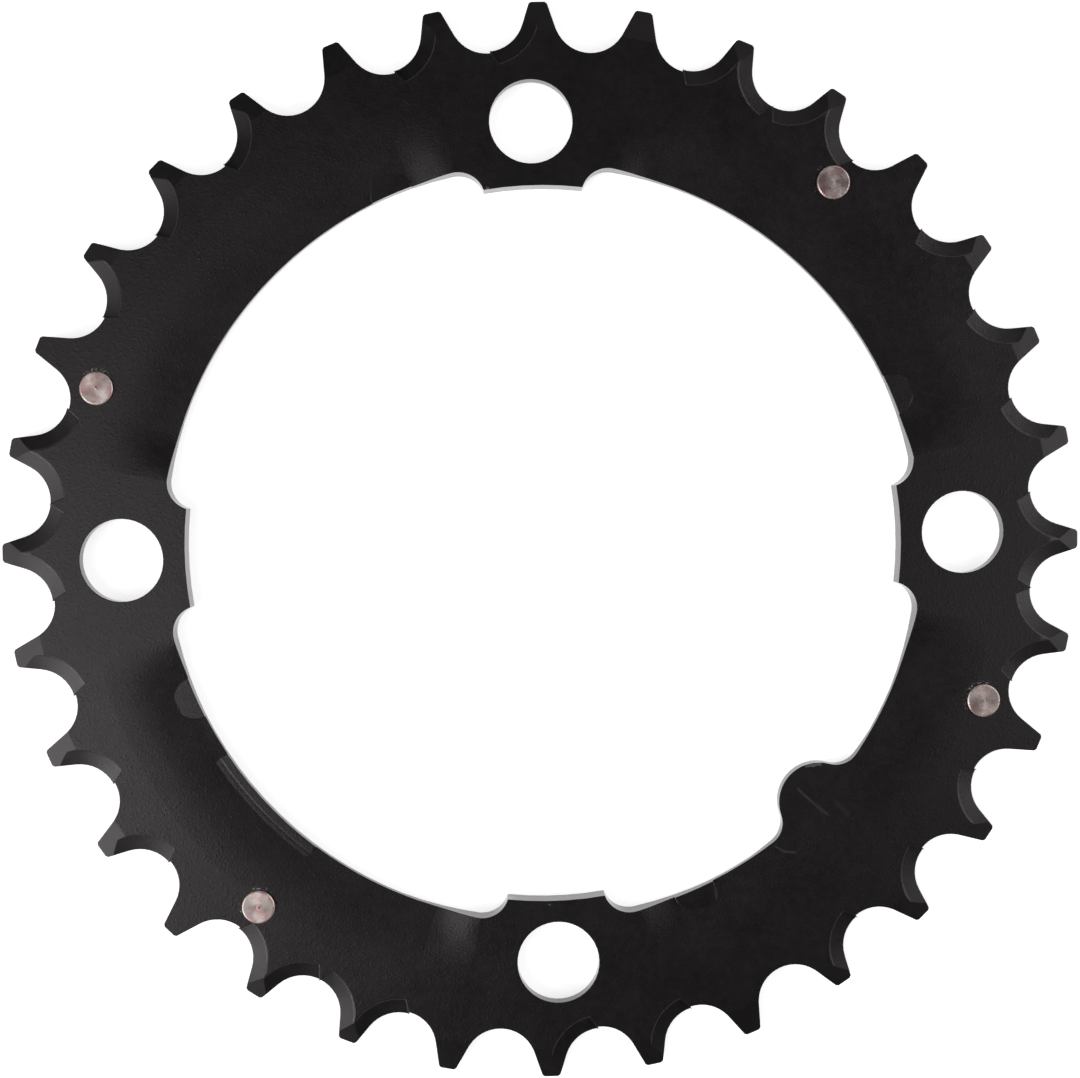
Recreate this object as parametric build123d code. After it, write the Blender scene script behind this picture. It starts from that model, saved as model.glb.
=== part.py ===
from build123d import *
from math import asin, atan, ceil, cos, degrees, hypot, pi, radians, sin, sqrt, tan
import os

# A bicycle chainring: one pressed plate with ramped teeth, four bolt lobes and a locator tab,
# and four turned shift pins riveted through it. The ring lies on its back face at Z = 0, with the
# ramps and pin heads on top. +X runs through a bolt hole. Millimetres and degrees throughout.

# Teeth, as few as leave ROOT_WALL between the bolt holes and the tooth roots
CHAIN_PITCH = 12.7
ROOT_WALL = 3.2
TOOTH_PHASE = -1.18
ROOT_DEPTH = 4.26
TIP_HEIGHT = 1.84
SEAT_RADIUS = 4.53
FLANK_ANGLE = 23.3
TIP_CORNER = 0.22

# Plate
PLATE_THICKNESS = 2.5
TOOTH_THICKNESS = 2.1
SHOULDER_INSET = 0.5

# Shift ramps pressed into the upper face of the teeth, which squeezes the seat beside them outwards
TIP_CHAMFER_LENGTH = 3.67
TIP_CHAMFER_ANGLE = 9.5
RAMP_WIDTH = 1.9
RAMP_DROP = 0.55
RAMP_WALL_DROP = 0.2
RAMP_WALL_RUN = 0.14
RAMP_SWEEP = 112.0
RAMP_STOP_LEAN = 27.0
RAMP_SEAT_RISE = 0.38
RAMP_SEAT_RADIUS = 4.67

# Which teeth carry which ramp, counted from tooth 0 and repeated every half turn
PLAIN_TEETH = (4, 14)
LEADING_RAMPS = (0, 1, 2, 3, 5, 6, 8, 9, 11, 12, 13, 15)
TRAILING_RAMPS = (0, 5, 6, 15)

# Bolt circle and lobes
BOLT_CIRCLE = 104.0
BOLT_COUNT = 4
BOLT_HOLE = 10.2
HOLE_EDGE = 1.0
LOBE_WALL = 2.65
LOBE_HEIGHT = 2.8
LOBE_HALF_ANGLE = 7.8
LOBE_FILLET = 3.3

# Inner rim, pressed thin between the lobes
RIM_SINK = 1.0
RIM_SLOPE = 10.4
RIM_BACK_SINK = 0.8
RIM_BACK_SLOPE = 2.4
PAD_HALF_ANGLE = 11.5
PAD_SLOPE_ANGLE = 12.5
PRESS_PROFILE = (1, 1, 0, 0, 0)
PRESS_LIFT = 0.001
PRESS_OVERLAP = 0.1
PRESS_END_ANGLE = 7.0

# Locator tab, midway between two bolt holes
TAB_ANGLE = -45.0
TAB_REACH = 4.9
TAB_NOSE_RADIUS = 5.0
TAB_FILLET = 3.0
TAB_HALF_ANGLE = 7.5
TAB_SLOPE_ANGLE = 6.0

# Flat spots that the press leaves on the inner rim, and marks in the front face
SPOT_RADIUS = 2.6
SPOT_SINK = 0.64
SPOT_AFTER_HOLE = 21.6
STRIP_START = 211.3
STRIP_END = 230.9
STRIP_WIDTH = 1.9
STRIP_SINK = 0.75
STRIP_CORNER = 0.8
GROOVE_INSET = 1.0
GROOVE_WIDTH = 0.3
GROOVE_DEPTH = 0.08
INDEX_LINE_WIDTH = 0.45
INDEX_LINE_DEPTH = 0.05
INDEX_LINE_LENGTH = 5.2
INDEX_LINE_INSET = 1.8
INDEX_LINE_ASIDE = -0.5

# Shift pins, placed by tooth number and inset from the tooth roots, and repeated as the ramps are
PIN_PLACES = ((4.52, 3.44), (14.21, 2.44))
PIN_HEAD_RADIUS = 2.05
PIN_HEAD_HEIGHT = 0.34
PIN_HEAD_EDGE = 0.14
PIN_SHANK_RADIUS = 1.45
PIN_TAIL_RADIUS = 2.0
PIN_TAIL_RECESS = 0.05
PIN_CLEARANCE = 0.03

# Worked out from the sizes above
BOLT_RADIUS = BOLT_CIRCLE / 2
BOLT_STEP = 360 / BOLT_COUNT
LOBE_RADIUS = BOLT_RADIUS - BOLT_HOLE / 2 - LOBE_WALL
RIM_RADIUS = LOBE_RADIUS + LOBE_HEIGHT
LEAST_PITCH_RADIUS = BOLT_RADIUS + BOLT_HOLE / 2 + ROOT_WALL + ROOT_DEPTH
TOOTH_COUNT = ceil(pi / asin(CHAIN_PITCH / 2 / LEAST_PITCH_RADIUS))
RAMP_PERIOD = TOOTH_COUNT // 2
PITCH_ANGLE = 360 / TOOTH_COUNT
PITCH_RADIUS = CHAIN_PITCH / 2 / sin(pi / TOOTH_COUNT)
ROOT_RADIUS = PITCH_RADIUS - ROOT_DEPTH
TIP_RADIUS = PITCH_RADIUS + TIP_HEIGHT
RAMP_ROOT_RADIUS = ROOT_RADIUS + RAMP_SEAT_RISE
SPARE = 1.0
HAIR = 0.012


def polar(radius, angle, height=0.0):
    """The point at this radius, angle and height."""
    return Vector(radius * cos(radians(angle)), radius * sin(radians(angle)), height)


def turned(shape, angle):
    """The shape turned about the ring's axis."""
    return Rot(0, 0, angle) * shape


def tooth_angle(number):
    """Where tooth 'number' points. Half numbers are gaps."""
    return TOOTH_PHASE + number * PITCH_ANGLE


def gap_side(seat_radius, root_radius):
    """Half a gap on +X, from its middle to the tooth after it: a round seat and a flank that opens."""
    centre = Vector(root_radius + seat_radius, 0)
    seat_middle = centre + polar(seat_radius, 135 + FLANK_ANGLE / 2)
    seat_end = centre + polar(seat_radius, 90 + FLANK_ANGLE)
    mouth_x = TIP_RADIUS + SPARE
    mouth_y = seat_end.Y + (mouth_x - seat_end.X) * tan(radians(FLANK_ANGLE))
    seat = ThreePointArc((root_radius, 0), seat_middle, seat_end)
    flank = Polyline(seat_end, (mouth_x, mouth_y), (mouth_x, 0), (root_radius, 0))
    return make_face(Curve() + [seat, flank])


def toothed_disc():
    """The outline of all the teeth, with broken tip corners."""
    plain = gap_side(SEAT_RADIUS, ROOT_RADIUS)
    pressed = gap_side(RAMP_SEAT_RADIUS, RAMP_ROOT_RADIUS)
    gaps = []
    for number in range(TOOTH_COUNT):
        before = pressed if number % RAMP_PERIOD in LEADING_RAMPS else plain
        after = pressed if (number + 1) % RAMP_PERIOD in TRAILING_RAMPS else plain
        gap = mirror(before, Plane.XZ) + after
        gaps.append(turned(gap, tooth_angle(number + 0.5)))
    disc = Circle(TIP_RADIUS) - gaps
    tips = [v for v in disc.vertices() if abs(hypot(v.X, v.Y) - TIP_RADIUS) < HAIR]
    return chamfer(tips, TIP_CORNER)


def sector(inner, outer, start, end):
    """A flat piece of ring between two radii and two angles."""
    middle = (start + end) / 2
    far = ThreePointArc(polar(outer, start), polar(outer, middle), polar(outer, end))
    near = ThreePointArc(polar(inner, end), polar(inner, middle), polar(inner, start))
    sides = [Line(far @ 1, near @ 0), Line(near @ 1, far @ 0)]
    return make_face(Curve() + [far, near] + sides)


def locator_tab():
    """The tab's flat outline on +X: a round nose, run into the rim by a tangent arc at each side."""
    nose = RIM_RADIUS - TAB_REACH + TAB_NOSE_RADIUS
    to_fillet = RIM_RADIUS - TAB_FILLET
    between = TAB_NOSE_RADIUS + TAB_FILLET
    fillet_x = (to_fillet ** 2 - between ** 2 + nose ** 2) / (2 * nose)
    fillet_y = sqrt(to_fillet ** 2 - fillet_x ** 2)
    centre = Vector(fillet_x, fillet_y)
    foot = centre * (RIM_RADIUS / to_fillet)
    joint = centre + (Vector(nose, 0) - centre) * (TAB_FILLET / between)
    middle = centre + ((foot + joint) / 2 - centre).normalized() * TAB_FILLET
    upper = ThreePointArc(foot, middle, joint)
    front = ThreePointArc(joint, (nose - TAB_NOSE_RADIUS, 0), (joint.X, -joint.Y))
    lower = mirror(upper, Plane.XZ)
    base_x = RIM_RADIUS + SPARE
    base = Polyline((foot.X, foot.Y), (base_x, foot.Y), (base_x, -foot.Y), (foot.X, -foot.Y))
    return make_face(Curve() + [upper, front, lower, base])


def opening():
    """The open middle: a circle between lobes, stepped in at each lobe and at the tab."""
    floor_radius = LOBE_RADIUS - LOBE_FILLET
    bay = sector(floor_radius, RIM_RADIUS, LOBE_HALF_ANGLE, BOLT_STEP - LOBE_HALF_ANGLE)
    corners = [v for v in bay.vertices() if hypot(v.X, v.Y) > LOBE_RADIUS]
    bay = fillet(corners, LOBE_FILLET)
    bays = [turned(bay, number * BOLT_STEP) for number in range(BOLT_COUNT)]
    hole = Circle(LOBE_RADIUS) + bays
    return hole - turned(locator_tab(), TAB_ANGLE)


def back_shoulder():
    """What is turned off the back face so that the teeth are thinner than the plate."""
    step = PLATE_THICKNESS - TOOTH_THICKNESS
    foot = ROOT_RADIUS - SHOULDER_INSET
    edge = TIP_RADIUS + SPARE
    section = make_face(Polyline((foot, 0, 0), (foot + step, 0, step), (edge, 0, step),
                                 (edge, 0, -SPARE), (foot, 0, -SPARE), (foot, 0, 0)))
    return revolve(section, Axis.Z)


def tip_chamfer():
    """The wedge that thins a tooth on +X towards its tip."""
    start = TIP_RADIUS - TIP_CHAMFER_LENGTH
    run = TIP_CHAMFER_LENGTH + SPARE
    drop = run * tan(radians(TIP_CHAMFER_ANGLE))
    top = PLATE_THICKNESS
    edge = start + run
    section = make_face(Polyline((start, 0, top), (edge, 0, top - drop), (edge, 0, top + SPARE),
                                 (start, 0, top + SPARE), (start, 0, top)))
    return extrude(section, CHAIN_PITCH / 2, dir=(0, 1, 0), both=True)


def flank_ramp():
    """Half a countersink round the roller seat of a gap on +X, on the tooth before the gap.
    It has a steep outer wall and a shallow floor, and a leaning stop at the middle of the gap."""
    top = PLATE_THICKNESS
    centre = RAMP_ROOT_RADIUS + RAMP_SEAT_RADIUS
    wall = RAMP_SEAT_RADIUS + RAMP_WIDTH
    ledge = wall - RAMP_WALL_RUN
    fall = (RAMP_DROP - RAMP_WALL_DROP) / (ledge - RAMP_SEAT_RADIUS)
    inner = RAMP_SEAT_RADIUS - SPARE
    floor = top - RAMP_WALL_DROP - fall * (ledge - inner)
    corners = [(inner, top + SPARE), (inner, floor), (ledge, top - RAMP_WALL_DROP)]
    corners += [(wall, top), (wall, top + SPARE)]
    points = [(centre - reach, 0, height) for reach, height in corners]
    section = make_face(Polyline(*points, points[0]))
    ramp = revolve(section, Axis((centre, 0, 0), (0, 0, 1)), RAMP_SWEEP)
    stop = Plane(origin=(RAMP_ROOT_RADIUS, 0, 0), z_dir=polar(1, RAMP_STOP_LEAN - 90))
    return split(ramp, stop, keep=Keep.TOP)


def shift_ramps():
    """All the cuts that shape the upper face of the teeth."""
    chamfer_cut = tip_chamfer()
    leading = flank_ramp()
    trailing = mirror(leading, Plane.XZ)
    cuts = []
    for number in range(TOOTH_COUNT):
        kind = number % RAMP_PERIOD
        if kind not in PLAIN_TEETH:
            cuts.append(turned(chamfer_cut, tooth_angle(number)))
        if kind in LEADING_RAMPS:
            cuts.append(turned(leading, tooth_angle(number + 0.5)))
        if kind in TRAILING_RAMPS:
            cuts.append(turned(trailing, tooth_angle(number - 0.5)))
    return cuts


def press_line(angle, scale, share):
    """Control points of the pressed rim's section at this angle, with its radii scaled, at a share
    of its full depth."""
    step = (RIM_SLOPE + SPARE) / (len(PRESS_PROFILE) - 1)
    line = []
    for row, across in enumerate(PRESS_PROFILE):
        radius = RIM_RADIUS - SPARE + row * step
        depth = (RIM_SINK + PRESS_LIFT) * share * across - PRESS_LIFT
        line.append(polar(radius * scale, angle, PLATE_THICKNESS - depth))
    return line


def press_patch(start, end, start_share, end_share):
    """A stretch of the press round the axis, which goes smoothly from one depth to another. Its two
    inner lines stand out along the tangents at its ends, so that it follows a circle."""
    reach = tan(radians(end - start) / 4) * 4 / 3
    lean = degrees(atan(reach))
    scale = hypot(1, reach)
    net = [
        press_line(start, 1, start_share),
        press_line(start + lean, scale, start_share),
        press_line(end - lean, scale, end_share),
        press_line(end, 1, end_share),
    ]
    return extrude(Face.make_bezier_surface(net), RIM_SINK + SPARE, dir=(0, 0, 1))


def front_press(number):
    """What the press takes off the front of the rim after a bolt hole: an even middle, two soft ends."""
    start = number * BOLT_STEP + PAD_HALF_ANGLE
    first = start + PRESS_END_ANGLE
    end = (number + 1) * BOLT_STEP - PAD_HALF_ANGLE
    last = end - PRESS_END_ANGLE
    return press_patch(start, first, 0, 1) + press_patch(first, last, 1, 1) + press_patch(last, end, 1, 0)


def tab_press():
    """What the press takes off the tab, down to the level of the rim's edge."""
    inner = RIM_RADIUS - TAB_REACH - SPARE
    outer = RIM_RADIUS - SPARE + PRESS_OVERLAP
    outline = sector(inner, outer, TAB_ANGLE - BOLT_STEP / 4, TAB_ANGLE + BOLT_STEP / 4)
    return Pos(0, 0, PLATE_THICKNESS - RIM_SINK) * extrude(outline, RIM_SINK + SPARE)


def standing_spots():
    """What the press leaves standing: a round flat spot after each bolt lobe and a long strip."""
    disc = extrude(Circle(SPOT_RADIUS), PLATE_THICKNESS - SPOT_SINK)
    angles = [number * BOLT_STEP + SPOT_AFTER_HOLE for number in range(BOLT_COUNT)]
    spots = [Pos(polar(RIM_RADIUS, angle)) * disc for angle in angles]
    outer = RIM_RADIUS + STRIP_WIDTH
    strip = sector(RIM_RADIUS - SPARE, outer, STRIP_START, STRIP_END)
    strip = fillet(strip.vertices().filter_by(lambda v: hypot(v.X, v.Y) > RIM_RADIUS), STRIP_CORNER)
    return spots + [extrude(strip, PLATE_THICKNESS - STRIP_SINK)]


def run_out(angle, slope_angle, rising):
    """The slanted plane on which a back bevel runs out at this angle. It rises towards 'rising'."""
    length = RIM_RADIUS * radians(slope_angle)
    along = polar(1, angle + 90) * rising
    normal = Vector(0, 0, length) - along * RIM_BACK_SINK
    return Plane(origin=polar(RIM_RADIUS, angle), z_dir=normal)


def back_bevel(bay):
    """The bevel on the back of the rim in a bay, with slanted ends."""
    start, end, start_slope, end_slope = bay
    lean = RIM_BACK_SINK / RIM_BACK_SLOPE
    outer = RIM_RADIUS + RIM_BACK_SLOPE
    peak = (LOBE_RADIUS, 0, (outer - LOBE_RADIUS) * lean)
    foot = (outer + SPARE / lean, 0, -SPARE)
    section = make_face(Polyline(peak, foot, (LOBE_RADIUS, 0, -SPARE), peak))
    bevel = turned(revolve(section, Axis.Z, end - start), start)
    bevel = split(bevel, run_out(start, start_slope, 1), keep=Keep.BOTTOM)
    return split(bevel, run_out(end, end_slope, -1), keep=Keep.BOTTOM)


def bevel_bays():
    """Start, end and end slopes of each stretch of back bevel, between lobes and tab."""
    bays = []
    for number in range(BOLT_COUNT):
        start = number * BOLT_STEP + PAD_HALF_ANGLE
        end = (number + 1) * BOLT_STEP - PAD_HALF_ANGLE
        tab = TAB_ANGLE % 360
        if start < tab < end:
            bays.append((start, tab - TAB_HALF_ANGLE, PAD_SLOPE_ANGLE, TAB_SLOPE_ANGLE))
            bays.append((tab + TAB_HALF_ANGLE, end, TAB_SLOPE_ANGLE, PAD_SLOPE_ANGLE))
        else:
            bays.append((start, end, PAD_SLOPE_ANGLE, PAD_SLOPE_ANGLE))
    return bays


def pressed_rim():
    """The rim made thin in every bay: pressed on the front and bevelled on the back."""
    spots = standing_spots()
    cuts = [front_press(number) - spots for number in range(BOLT_COUNT)]
    cuts.append(tab_press())
    cuts += [back_bevel(bay) for bay in bevel_bays()]
    return cuts


def index_line():
    """The V groove along a tab on +X. Its floor follows the pressed face and its sides slant up."""
    line = press_line(0, 1, 1)
    start = Vector(RIM_RADIUS - TAB_REACH + INDEX_LINE_INSET, 0, line[0].Z)
    top = PLATE_THICKNESS + SPARE
    over = Polyline(line[-1], (line[-1].X, 0, top), (start.X, 0, top), start)
    profile = make_face(Curve() + [Line(start, line[0]), Bezier(*line), over])
    side = extrude(profile, SPARE, dir=(0, INDEX_LINE_WIDTH / 2, INDEX_LINE_DEPTH))
    groove = Pos(0, INDEX_LINE_ASIDE, -INDEX_LINE_DEPTH) * (side + mirror(side, Plane.XZ))
    end = Plane(origin=start + (INDEX_LINE_LENGTH, 0, 0), z_dir=(1, 0, 0))
    return split(groove, end, keep=Keep.BOTTOM)


def face_marks():
    """A groove along the strip and an index line on the tab."""
    inner = RIM_RADIUS + GROOVE_INSET
    groove = sector(inner, inner + GROOVE_WIDTH, STRIP_START, STRIP_END)
    groove = Pos(0, 0, PLATE_THICKNESS - STRIP_SINK - GROOVE_DEPTH) * extrude(groove, RIM_SINK)
    return [groove, turned(index_line(), TAB_ANGLE)]


def pin_places():
    """Where the pins stand on the back face, the same in both half turns."""
    places = []
    for first_tooth in (0, RAMP_PERIOD):
        for tooth, inset in PIN_PLACES:
            places.append(Pos(polar(ROOT_RADIUS - inset, tooth_angle(first_tooth + tooth))))
    return places


def turned_piece(corners):
    """The solid turned from half a section, given as radius and height."""
    points = [(reach, 0, height) for reach, height in corners]
    return revolve(make_face(Polyline(*points, points[0])), Axis.Z)


def pin_hole():
    """The hole that a pin fills, countersunk at the back."""
    shank = PIN_SHANK_RADIUS + PIN_CLEARANCE
    sink = PIN_TAIL_RECESS + PIN_TAIL_RADIUS - PIN_SHANK_RADIUS
    top = PLATE_THICKNESS + SPARE
    return turned_piece([(0, -SPARE), (shank + sink + SPARE, -SPARE), (shank, sink), (shank, top),
                         (0, top)])


def shift_pin():
    """A turned pin: riveted tail, shank, and a flat head that rests on the front of the plate."""
    sink = PIN_TAIL_RECESS + PIN_TAIL_RADIUS - PIN_SHANK_RADIUS
    seat = PLATE_THICKNESS
    face = PLATE_THICKNESS + PIN_HEAD_HEIGHT
    return turned_piece([(0, PIN_TAIL_RECESS), (PIN_TAIL_RADIUS, PIN_TAIL_RECESS),
                         (PIN_SHANK_RADIUS, sink), (PIN_SHANK_RADIUS, seat),
                         (PIN_HEAD_RADIUS, seat), (PIN_HEAD_RADIUS, face - PIN_HEAD_EDGE),
                         (PIN_HEAD_RADIUS - PIN_HEAD_EDGE, face), (0, face)])


def chainring_plate():
    """The whole plate, cut from its flat outline."""
    bolt = Circle(BOLT_HOLE / 2)
    bolts = [Pos(polar(BOLT_RADIUS, number * BOLT_STEP)) * bolt for number in range(BOLT_COUNT)]
    plate = extrude(toothed_disc() - opening() - bolts, PLATE_THICKNESS)
    rounds = plate.faces().sort_by(Axis.Z)[0].edges().filter_by(GeomType.CIRCLE)
    plate = chamfer(rounds.filter_by(lambda edge: edge.is_closed), HOLE_EDGE)
    plate = plate - back_shoulder()
    plate = plate - pressed_rim()
    plate = plate - face_marks()
    plate = plate - shift_ramps()
    hole = pin_hole()
    return plate - [place * hole for place in pin_places()]


os.makedirs("parts", exist_ok=True)
export_step(chainring_plate(), "parts/chainring_plate.step")
pin = shift_pin()
for index, place in enumerate(pin_places(), 1):
    export_step(place * pin, f"parts/shift_pin_{index}.step")
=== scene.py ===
from math import cos, radians, sin, sqrt

import bpy
from mathutils import Matrix, Vector


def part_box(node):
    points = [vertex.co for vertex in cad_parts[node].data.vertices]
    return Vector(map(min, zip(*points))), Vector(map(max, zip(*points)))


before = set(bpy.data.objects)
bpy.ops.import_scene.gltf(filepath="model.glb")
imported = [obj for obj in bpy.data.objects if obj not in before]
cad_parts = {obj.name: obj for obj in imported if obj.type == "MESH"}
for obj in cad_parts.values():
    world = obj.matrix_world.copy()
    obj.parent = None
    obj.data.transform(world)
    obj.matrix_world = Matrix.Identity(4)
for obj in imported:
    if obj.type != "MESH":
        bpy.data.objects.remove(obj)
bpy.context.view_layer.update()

MILLIMETRE = 0.001

# The photograph in pixels, and the ring's centre, scale and turn in degrees in it
PHOTO_WIDTH = 1080
PHOTO_HEIGHT = 1078
CENTRE_PIXEL = (544.8, 546.1)
PIXELS_PER_METRE = 8097.5
RING_TURN = 1.94

# The camera: metres from the ring, sideways parts of its viewing direction, sensor in millimetres
CAMERA_DISTANCE = 0.180
LOOK_RIGHT = 0.0243
LOOK_DOWN = 0.0348
SENSOR_WIDTH = 36.0
CLIP_START = 0.01

# A band is the pair of values between which a mask goes from 0 to 1.
# A scale is in noise cells to the metre, and noise stays mostly within this range.
NOISE_RANGE = (0.3, 0.7)

# Multiplied by this, a place loses its height
FLAT = (1, 1, 0)

# Edges look rounded by this radius in metres, found with this many rays
EDGE_RADIUS = 0.00016
EDGE_SAMPLES = 6

# Bands of the upright part of a normal: walls, slanted faces, and the front of the ring
WALL_BAND = (0.6, 0.3)
SLANT_BAND = (0.996, 0.990)
FRONT_BAND = (-0.2, 0.2)

# Coat: colours, tint of its shine, and roughness of its clouds and blotches
COAT_DARK = (0.0070, 0.0060, 0.0063, 1)
COAT_LIGHT = (0.0086, 0.0077, 0.0081, 1)
COAT_TINT = (1.0, 0.93, 0.94, 1)
COAT_IOR = 1.5
CLOUD_SCALE = 160
CLOUD_ROUGHNESS = (0.30, 0.36)
BLOTCH_SCALE = 900
BLOTCH_ROUGHNESS = (0.01, 0.07)

# Walls are this much smoother, under a thin gloss
WALL_POLISH = 0.20
WALL_GLOSS = 0.6
WALL_GLOSS_ROUGHNESS = 0.12

# Relief of the coat: fine grain and sparser grit as shares of its height in metres
RELIEF_HEIGHT = 0.00006
GRAIN_SCALE = 4200
GRAIN_SHARE = 0.22
GRIT_SCALE = 3000
GRIT_BAND = (0.52, 0.80)
GRIT_SHARE = 0.28

# The relief is weaker on the slanted faces that the press coined, beyond this radius in metres
COINED_BAND = (0.059, 0.0595)
PLAIN_STRENGTH = 0.7
COINED_STRENGTH = 0.25

# Painted highlight strokes on the front face: both ends in millimetres, half width, and how light they are
PAINTED_HIGHLIGHT_COLOUR = (0.045, 0.044, 0.045, 1)
PAINTED_HIGHLIGHTS = (
    (27.7, -38.7, 28.8, -39.4, 0.16, 1.0),
    (28.8, -39.4, 30.2, -39.5, 0.16, 1.0),
    (20.1, -43.5, 20.1, -45.0, 0.15, 1.0),
    (35.6, -33.5, 36.9, -34.9, 0.50, 0.25),
    (30.9, -31.6, 34.0, -34.8, 0.22, 0.45),
)

# Bare chips on front edges: both ends, height and half width in millimetres
CHIPS = (
    (32.0, -28.7, 33.6, -28.5, 1.5, 0.28),
    (-5.6, 44.0, -5.5, 43.9, 2.5, 0.24),
    (28.6, 37.0, 28.7, 36.9, 1.5, 0.20),
    (-0.9, -44.7, -0.8, -44.7, 2.5, 0.13),
)

# A chip's edge: band of the distance as a share of the half width, which varies between these shares
CHIP_BAND = (1.0, 0.8)
CHIP_RAGGED = (0.6, 1.2)
CHIP_SCALE = 3000

# Small bare nicks along the edges, where the rounded normal leaves the true one
BARE_COLOUR = (0.30, 0.27, 0.26, 1)
EDGE_BAND = (0.97, 0.85)
NICK_SCALE = 420
NICK_BAND = (0.66, 0.70)

# Painted glints: light specks in the coat on one side of each pin: bands of the distance from its head in
# metres
PINS = [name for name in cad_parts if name.startswith("shift_pin")]
PAINTED_GLINT_COLOUR = (0.26, 0.25, 0.24, 1)
SPECK_SIDE = (-0.6, 0.8, 0)
SPECK_SIDE_BAND = (0.0, 0.001)
SPECK_START_BAND = (0.00005, 0.00015)
SPECK_END_BAND = (0.00055, 0.00025)
SPECK_STRETCH_SCALE = 400
SPECK_STRETCH_BAND = (0.46, 0.54)
SPECK_DOT_SCALE = 3600
SPECK_DOT_BAND = (0.54, 0.62)

# Pins: colours, roughness and circular sheen of the metal
PIN_PINK = (0.52, 0.35, 0.34, 1)
PIN_PALE = (0.62, 0.55, 0.52, 1)
PIN_ROUGHNESS = (0.36, 0.50)
PIN_SHEEN = 0.45
MOTTLE_SCALE = 800
MOTTLE_BAND = (0.42, 0.60)

# Turning marks of the pins: rings and a centre mark, in shares of the pin's width, and height in metres
RING_SCALE = 42
RING_SHARE = 0.5
MARK_BAND = (0.06, 0.02)
MARK_HEIGHT = 0.00004
MARK_STRENGTH = 0.5

# Stage: side of the floor in metres, its colour, and how bright it and the surround show
FLOOR_SIZE = 4.0
FLOOR_GREY = 0.8
FLOOR_GLOW = 0.75

# The horizon in mirrors: its brightness, and the upright part of a direction at which it has faded out
HORIZON_GLOSS = 0.75
HORIZON_FADE = 0.6

# Lamps: tilt from straight up and turn about the ring in degrees, panel size in metres, power in watts
LAMP_DISTANCE = 0.62
LAMPS = {
    "left_low": (62, 210, 0.26, 2.16),
    "left_middle": (46, 180, 0.24, 0.36),
    "left_high": (32, 210, 0.20, 0.38),
    "left_top": (18, 180, 0.18, 0.13),
    "right_low": (62, 357, 0.26, 0.98),
    "right_back": (62, 30, 0.26, 0.78),
    "right_high": (32, 348, 0.20, 0.14),
    "back_middle": (46, 72, 0.24, 0.07),
}


class Shader:
    """The node tree of a material or a world, with short calls to add and join nodes."""

    def __init__(self, block, output):
        block.use_nodes = True
        self.nodes = block.node_tree.nodes
        self.links = block.node_tree.links
        self.nodes.clear()
        self.output = self.add(output)

    def add(self, kind, inputs=None, **settings):
        """A node of this kind. An input may be a value or another node's socket."""
        node = self.nodes.new("ShaderNode" + kind)
        for key, value in settings.items():
            setattr(node, key, value)
        for key, value in (inputs or {}).items():
            self.join(value, node.inputs[key])
        return node

    def join(self, value, socket):
        """Gives a socket a value, or links another node's socket to it."""
        if isinstance(value, bpy.types.NodeSocket):
            self.links.new(value, socket)
        else:
            socket.default_value = value

    def show(self, node):
        """Makes a node's first output the surface."""
        self.join(node.outputs[0], self.output.inputs["Surface"])

    def place(self):
        """Where a point lies in the part's own coordinates."""
        return self.add("TexCoord").outputs["Object"]

    def noise(self, scale, detail=2.0, roughness=0.5, vector=None):
        """Noise over the part, or over another vector."""
        place = self.place() if vector is None else vector
        inputs = {"Vector": place, "Scale": scale, "Detail": detail, "Roughness": roughness}
        return self.add("TexNoise", inputs).outputs["Fac"]

    def spread(self, value, low, high, to_low=0.0, to_high=1.0):
        """The value's range from low to high, moved to another range and clipped."""
        inputs = {"Value": value, "From Min": low, "From Max": high, "To Min": to_low, "To Max": to_high}
        return self.add("MapRange", inputs).outputs["Result"]

    def math(self, operation, first, second=0.0):
        return self.add("Math", {0: first, 1: second}, operation=operation).outputs[0]

    def vector(self, operation, first, second):
        """Vector arithmetic. Distances and dot products come out of the second socket."""
        node = self.add("VectorMath", {0: first, 1: second}, operation=operation)
        return node.outputs[1 if operation in ("DOT_PRODUCT", "DISTANCE") else 0]

    def blend(self, share, first, second):
        """Two colours mixed by share. Inputs 6 and 7 and output 2 are the node's colour sockets."""
        node = self.add("Mix", {0: share, 6: first, 7: second}, data_type="RGBA")
        return node.outputs[2]

    def soft_normal(self):
        """The normal with the edges rounded."""
        return self.add("Bevel", {"Radius": EDGE_RADIUS}, samples=EDGE_SAMPLES).outputs["Normal"]

    def bump(self, height, distance, strength, normal):
        """A normal with relief in it."""
        inputs = {"Height": height, "Distance": distance, "Strength": strength, "Normal": normal}
        return self.add("Bump", inputs).outputs["Normal"]


def grey(level):
    return (level, level, level, 1)


def new_material(name):
    """A material and its empty shader."""
    material = bpy.data.materials.new(name)
    return material, Shader(material, "OutputMaterial")


def flat_place(shader):
    """Where a point lies across the ring, without its height."""
    return shader.vector("MULTIPLY", shader.place(), FLAT)


def stroke_distance(shader, place, x_start, y_start, x_end, y_end, height=0.0):
    """How far a place is from a level straight stroke, given by both ends in millimetres."""
    first = Vector((x_start, y_start, height)) * MILLIMETRE
    along = Vector((x_end, y_end, height)) * MILLIMETRE - first
    from_first = shader.vector("SUBTRACT", place, first)
    share = shader.vector("DOT_PRODUCT", from_first, along / along.length_squared)
    share = shader.spread(share, 0.0, 1.0)
    foot = shader.add("VectorMath", {0: along, "Scale": share}, operation="SCALE").outputs[0]
    return shader.vector("DISTANCE", from_first, foot)


def painted_highlight_mask(shader):
    """Painted highlights: how light each stroke is along its middle, falling to nothing at its edge."""
    place = flat_place(shader)
    mask = 0.0
    for *ends, half_width, light in PAINTED_HIGHLIGHTS:
        aside = stroke_distance(shader, place, *ends)
        painted_stroke = shader.spread(aside, 0.0, half_width * MILLIMETRE, light, 0.0)
        mask = shader.math("ADD", mask, painted_stroke)
    return mask


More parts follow.
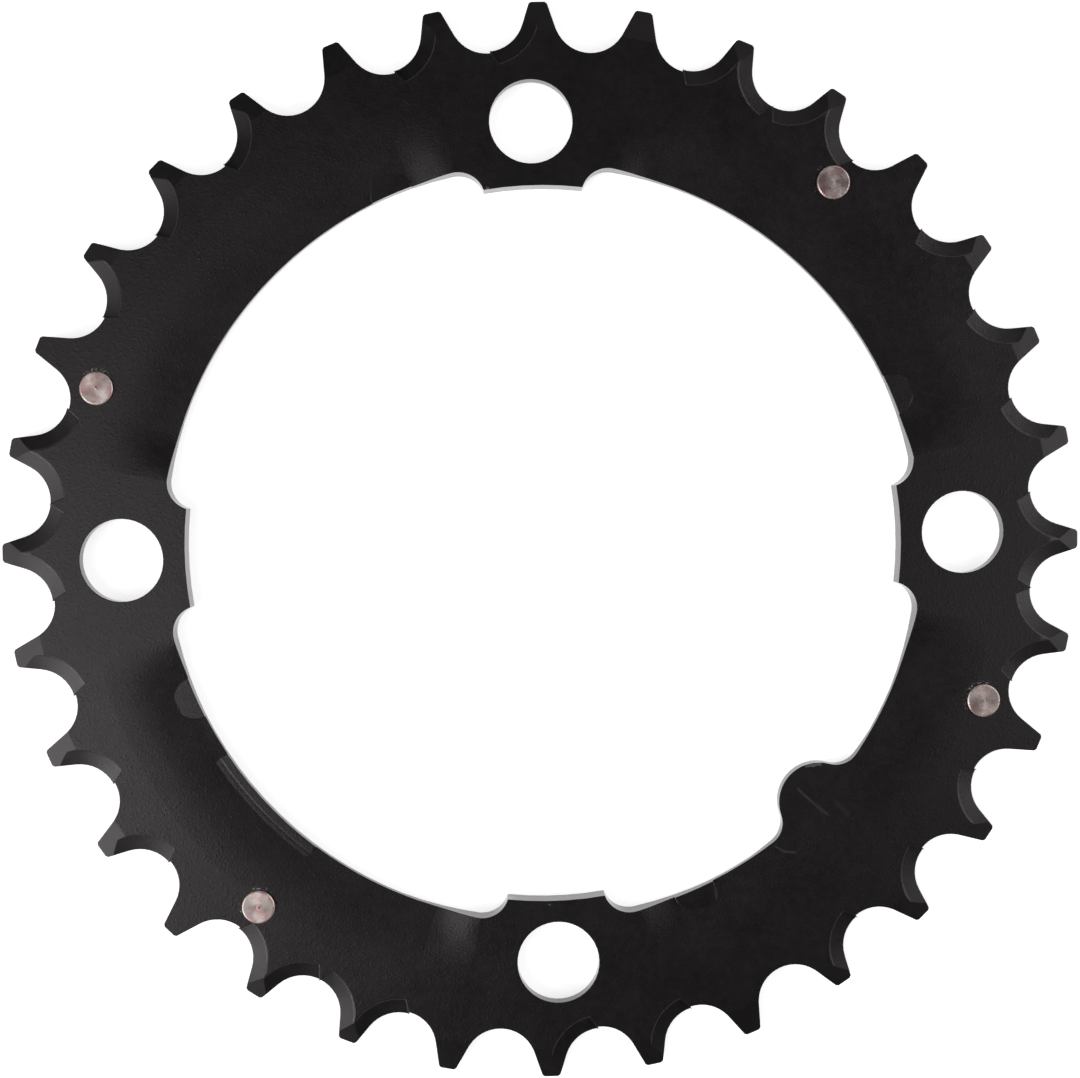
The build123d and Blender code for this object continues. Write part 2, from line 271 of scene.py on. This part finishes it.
def chip_mask(shader):
    """One in each bare chip, with a ragged edge."""
    place = shader.place()
    ragged = shader.spread(shader.noise(CHIP_SCALE), *NOISE_RANGE, *CHIP_RAGGED)
    mask = 0.0
    for *ends, height, half_width in CHIPS:
        aside = stroke_distance(shader, place, *ends, height)
        reach = shader.math("MULTIPLY", ragged, half_width * MILLIMETRE)
        chip = shader.spread(shader.math("DIVIDE", aside, reach), *CHIP_BAND)
        mask = shader.math("ADD", mask, chip)
    return mask


def bare_mask(shader, soft, sharp):
    """One where nicks and chips in the edges bare the metal."""
    edge = shader.spread(shader.vector("DOT_PRODUCT", soft, sharp), *EDGE_BAND)
    nick = shader.spread(shader.noise(NICK_SCALE, detail=3.0, roughness=0.6), *NICK_BAND)
    return shader.math("MAXIMUM", shader.math("MULTIPLY", edge, nick), chip_mask(shader))


def painted_pin_glints(shader):
    """Painted glints: broken light rings in the coat round the pin heads, on the same side of each."""
    place = flat_place(shader)
    mask = 0.0
    for name in PINS:
        low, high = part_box(name)
        centre = Vector((low.x + high.x, low.y + high.y, 0)) / 2
        head = (high.x - low.x) / 2
        gap = shader.math("SUBTRACT", shader.vector("DISTANCE", place, centre), head)
        aside = shader.vector("DOT_PRODUCT", shader.vector("SUBTRACT", place, centre), SPECK_SIDE)
        ring = shader.spread(gap, *SPECK_START_BAND)
        ring = shader.math("MULTIPLY", ring, shader.spread(gap, *SPECK_END_BAND))
        ring = shader.math("MULTIPLY", ring, shader.spread(aside, *SPECK_SIDE_BAND))
        mask = shader.math("ADD", mask, ring)
    stretch = shader.spread(shader.noise(SPECK_STRETCH_SCALE), *SPECK_STRETCH_BAND)
    dots = shader.spread(shader.noise(SPECK_DOT_SCALE), *SPECK_DOT_BAND)
    return shader.math("MULTIPLY", mask, shader.math("MULTIPLY", stretch, dots))


def coat_colour(shader, cloud, upright, bare):
    """Clouded black, lighter in the painted highlight strokes and painted glints of the front and where
    the metal is bare.
    """
    front = shader.spread(upright, *FRONT_BAND)
    # Painted highlights: light strokes where edges and slopes catch the light
    painted_stroke = shader.math("MULTIPLY", front, painted_highlight_mask(shader))
    # Painted glints on one side of each pin head
    painted_glint = shader.math("MULTIPLY", front, painted_pin_glints(shader))
    colour = shader.blend(cloud, COAT_DARK, COAT_LIGHT)
    colour = shader.blend(painted_stroke, colour, PAINTED_HIGHLIGHT_COLOUR)
    colour = shader.blend(painted_glint, colour, PAINTED_GLINT_COLOUR)
    return shader.blend(bare, colour, BARE_COLOUR)


def coat_roughness(shader, cloud, wall):
    """Satin with faint clouds and blotches, and smoother on the walls."""
    blotch = shader.noise(BLOTCH_SCALE, detail=3.0, roughness=0.6)
    clouded = shader.spread(cloud, *NOISE_RANGE, *CLOUD_ROUGHNESS)
    blotched = shader.spread(blotch, *NOISE_RANGE, *BLOTCH_ROUGHNESS)
    satin = shader.math("ADD", clouded, blotched)
    return shader.math("SUBTRACT", satin, shader.math("MULTIPLY", wall, WALL_POLISH))


def coat_normal(shader, soft, level):
    """Grain and grit over rounded edges, weaker on the faces that were coined."""
    grain = shader.math("MULTIPLY", shader.noise(GRAIN_SCALE, detail=1.0), GRAIN_SHARE)
    grit = shader.spread(shader.noise(GRIT_SCALE, detail=1.0), *GRIT_BAND, 0.0, GRIT_SHARE)
    reach = shader.vector("DISTANCE", flat_place(shader), (0, 0, 0))
    slanted = shader.spread(level, *SLANT_BAND)
    coined = shader.math("MULTIPLY", slanted, shader.spread(reach, *COINED_BAND))
    strength = shader.spread(coined, 0.0, 1.0, PLAIN_STRENGTH, COINED_STRENGTH)
    return shader.bump(shader.math("ADD", grain, grit), RELIEF_HEIGHT, strength, soft)


def black_coat():
    """Satin black baked coat: fine grain, rounded edges with nicks, glossier walls and painted highlight
    strokes.
    """
    material, shader = new_material("black_coat")
    soft = shader.soft_normal()
    sharp = shader.add("NewGeometry").outputs["True Normal"]
    upright = shader.add("SeparateXYZ", {0: sharp}).outputs["Z"]
    level = shader.math("ABSOLUTE", upright)
    wall = shader.spread(level, *WALL_BAND)
    cloud = shader.noise(CLOUD_SCALE, detail=4.0, roughness=0.6)
    bare = bare_mask(shader, soft, sharp)
    shader.show(shader.add("BsdfPrincipled", {
        "Base Color": coat_colour(shader, cloud, upright, bare),
        "Metallic": bare,
        "Roughness": coat_roughness(shader, cloud, wall),
        "IOR": COAT_IOR,
        "Specular Tint": COAT_TINT,
        "Coat Weight": shader.math("MULTIPLY", wall, WALL_GLOSS),
        "Coat Roughness": WALL_GLOSS_ROUGHNESS,
        "Coat IOR": COAT_IOR,
        "Normal": coat_normal(shader, soft, level),
    }))
    return material


def pin_metal():
    """Bare turned metal: fine rings, a circular sheen, pinkish mottling and a small mark at the centre."""
    material, shader = new_material("pin_metal")
    across = shader.vector("SUBTRACT", shader.add("TexCoord").outputs["Generated"], (0.5, 0.5, 0))
    reach = shader.vector("DISTANCE", shader.vector("MULTIPLY", across, FLAT), (0, 0, 0))
    spoke = shader.add("CombineXYZ", {"X": reach}).outputs[0]
    rings = shader.math("MULTIPLY", shader.noise(RING_SCALE, vector=spoke), RING_SHARE)
    height = shader.math("ADD", rings, shader.spread(reach, *MARK_BAND))
    mottle = shader.noise(MOTTLE_SCALE, detail=3.0, roughness=0.6)
    shader.show(shader.add("BsdfPrincipled", {
        "Base Color": shader.blend(shader.spread(mottle, *MOTTLE_BAND), PIN_PINK, PIN_PALE),
        "Metallic": 1.0,
        "Roughness": shader.spread(mottle, *NOISE_RANGE, *PIN_ROUGHNESS),
        "Anisotropic": PIN_SHEEN,
        "Tangent": shader.add("Tangent", direction_type="RADIAL", axis="Z").outputs[0],
        "Normal": shader.bump(height, MARK_HEIGHT, MARK_STRENGTH, shader.soft_normal()),
    }))
    return material


def dress(node, material):
    """Gives a solid its finish."""
    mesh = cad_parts[node].data
    mesh.materials.clear()
    mesh.materials.append(material)


def white_floor():
    """A pale floor that shows white, in mirrors too, and still takes the shadow."""
    bpy.ops.mesh.primitive_plane_add(size=FLOOR_SIZE)
    floor = bpy.context.object
    floor.name = "floor"
    material, shader = new_material("floor")
    path = shader.add("LightPath")
    seen = shader.math("MAXIMUM", path.outputs["Is Camera Ray"], path.outputs["Is Glossy Ray"])
    seen = shader.math("MAXIMUM", seen, path.outputs["Is Transmission Ray"])
    matte = shader.add("BsdfDiffuse", {"Color": grey(FLOOR_GREY)})
    glow = shader.add("Emission", {"Strength": shader.math("MULTIPLY", seen, FLOOR_GLOW)})
    shader.show(shader.add("AddShader", {0: matte.outputs[0], 1: glow.outputs[0]}))
    floor.data.materials.append(material)


def pale_world():
    """A pale surround for the camera and a pale horizon in mirrors, which give matte surfaces no light."""
    world = bpy.data.worlds.new("surround")
    shader = Shader(world, "OutputWorld")
    path = shader.add("LightPath")
    way = shader.add("TexCoord").outputs["Generated"]
    rise = shader.add("SeparateXYZ", {0: way}).outputs["Z"]
    horizon = shader.spread(rise, 0.0, HORIZON_FADE, HORIZON_GLOSS, 0.0)
    glossy = shader.math("MULTIPLY", path.outputs["Is Glossy Ray"], horizon)
    seen = shader.math("MULTIPLY", path.outputs["Is Camera Ray"], FLOOR_GLOW)
    strength = shader.math("MAXIMUM", seen, glossy)
    shader.show(shader.add("Background", {"Color": grey(1.0), "Strength": strength}))
    bpy.context.scene.world = world


def lamp(name, tilt, turn, size, power):
    """A soft square panel that faces the ring."""
    data = bpy.data.lights.new(name, "AREA")
    data.size = size
    data.energy = power
    panel = bpy.data.objects.new(name, data)
    aside = sin(radians(tilt))
    way = Vector((aside * cos(radians(turn)), aside * sin(radians(turn)), cos(radians(tilt))))
    panel.location = way * LAMP_DISTANCE
    panel.rotation_euler = way.to_track_quat("Z", "Y").to_euler()
    bpy.context.collection.objects.link(panel)


def photo_camera(front):
    """A camera that sees the ring's front face, at this height, as the photograph does."""
    turn = radians(RING_TURN)
    right = Vector((cos(turn), -sin(turn), 0))
    up = Vector((sin(turn), cos(turn), 0))
    fall = sqrt(1 - LOOK_RIGHT ** 2 - LOOK_DOWN ** 2)
    look = right * LOOK_RIGHT - up * LOOK_DOWN - Vector((0, 0, fall))
    across = (right - look * right.dot(look)).normalized()
    upward = across.cross(look)
    focal_pixels = PIXELS_PER_METRE * CAMERA_DISTANCE
    aside = (CENTRE_PIXEL[0] - PHOTO_WIDTH / 2) / focal_pixels
    below = (CENTRE_PIXEL[1] - PHOTO_HEIGHT / 2) / focal_pixels
    to_centre = look + across * aside - upward * below
    place = Vector((0, 0, front)) - to_centre * CAMERA_DISTANCE
    data = bpy.data.cameras.new("photo_camera")
    data.sensor_fit = "HORIZONTAL"
    data.sensor_width = SENSOR_WIDTH
    data.lens = SENSOR_WIDTH * focal_pixels / PHOTO_WIDTH
    data.clip_start = CLIP_START
    camera = bpy.data.objects.new("photo_camera", data)
    axes = Matrix((across, upward, -look)).transposed()
    camera.matrix_world = Matrix.Translation(place) @ axes.to_4x4()
    bpy.context.collection.objects.link(camera)
    bpy.context.scene.camera = camera


coat = black_coat()
metal = pin_metal()
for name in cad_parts:
    dress(name, metal if name in PINS else coat)
white_floor()
pale_world()
for name, facts in LAMPS.items():
    lamp(name, *facts)
plate_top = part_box("chainring_plate")[1]
photo_camera(plate_top.z)
bpy.context.scene.view_settings.view_transform = "Standard"
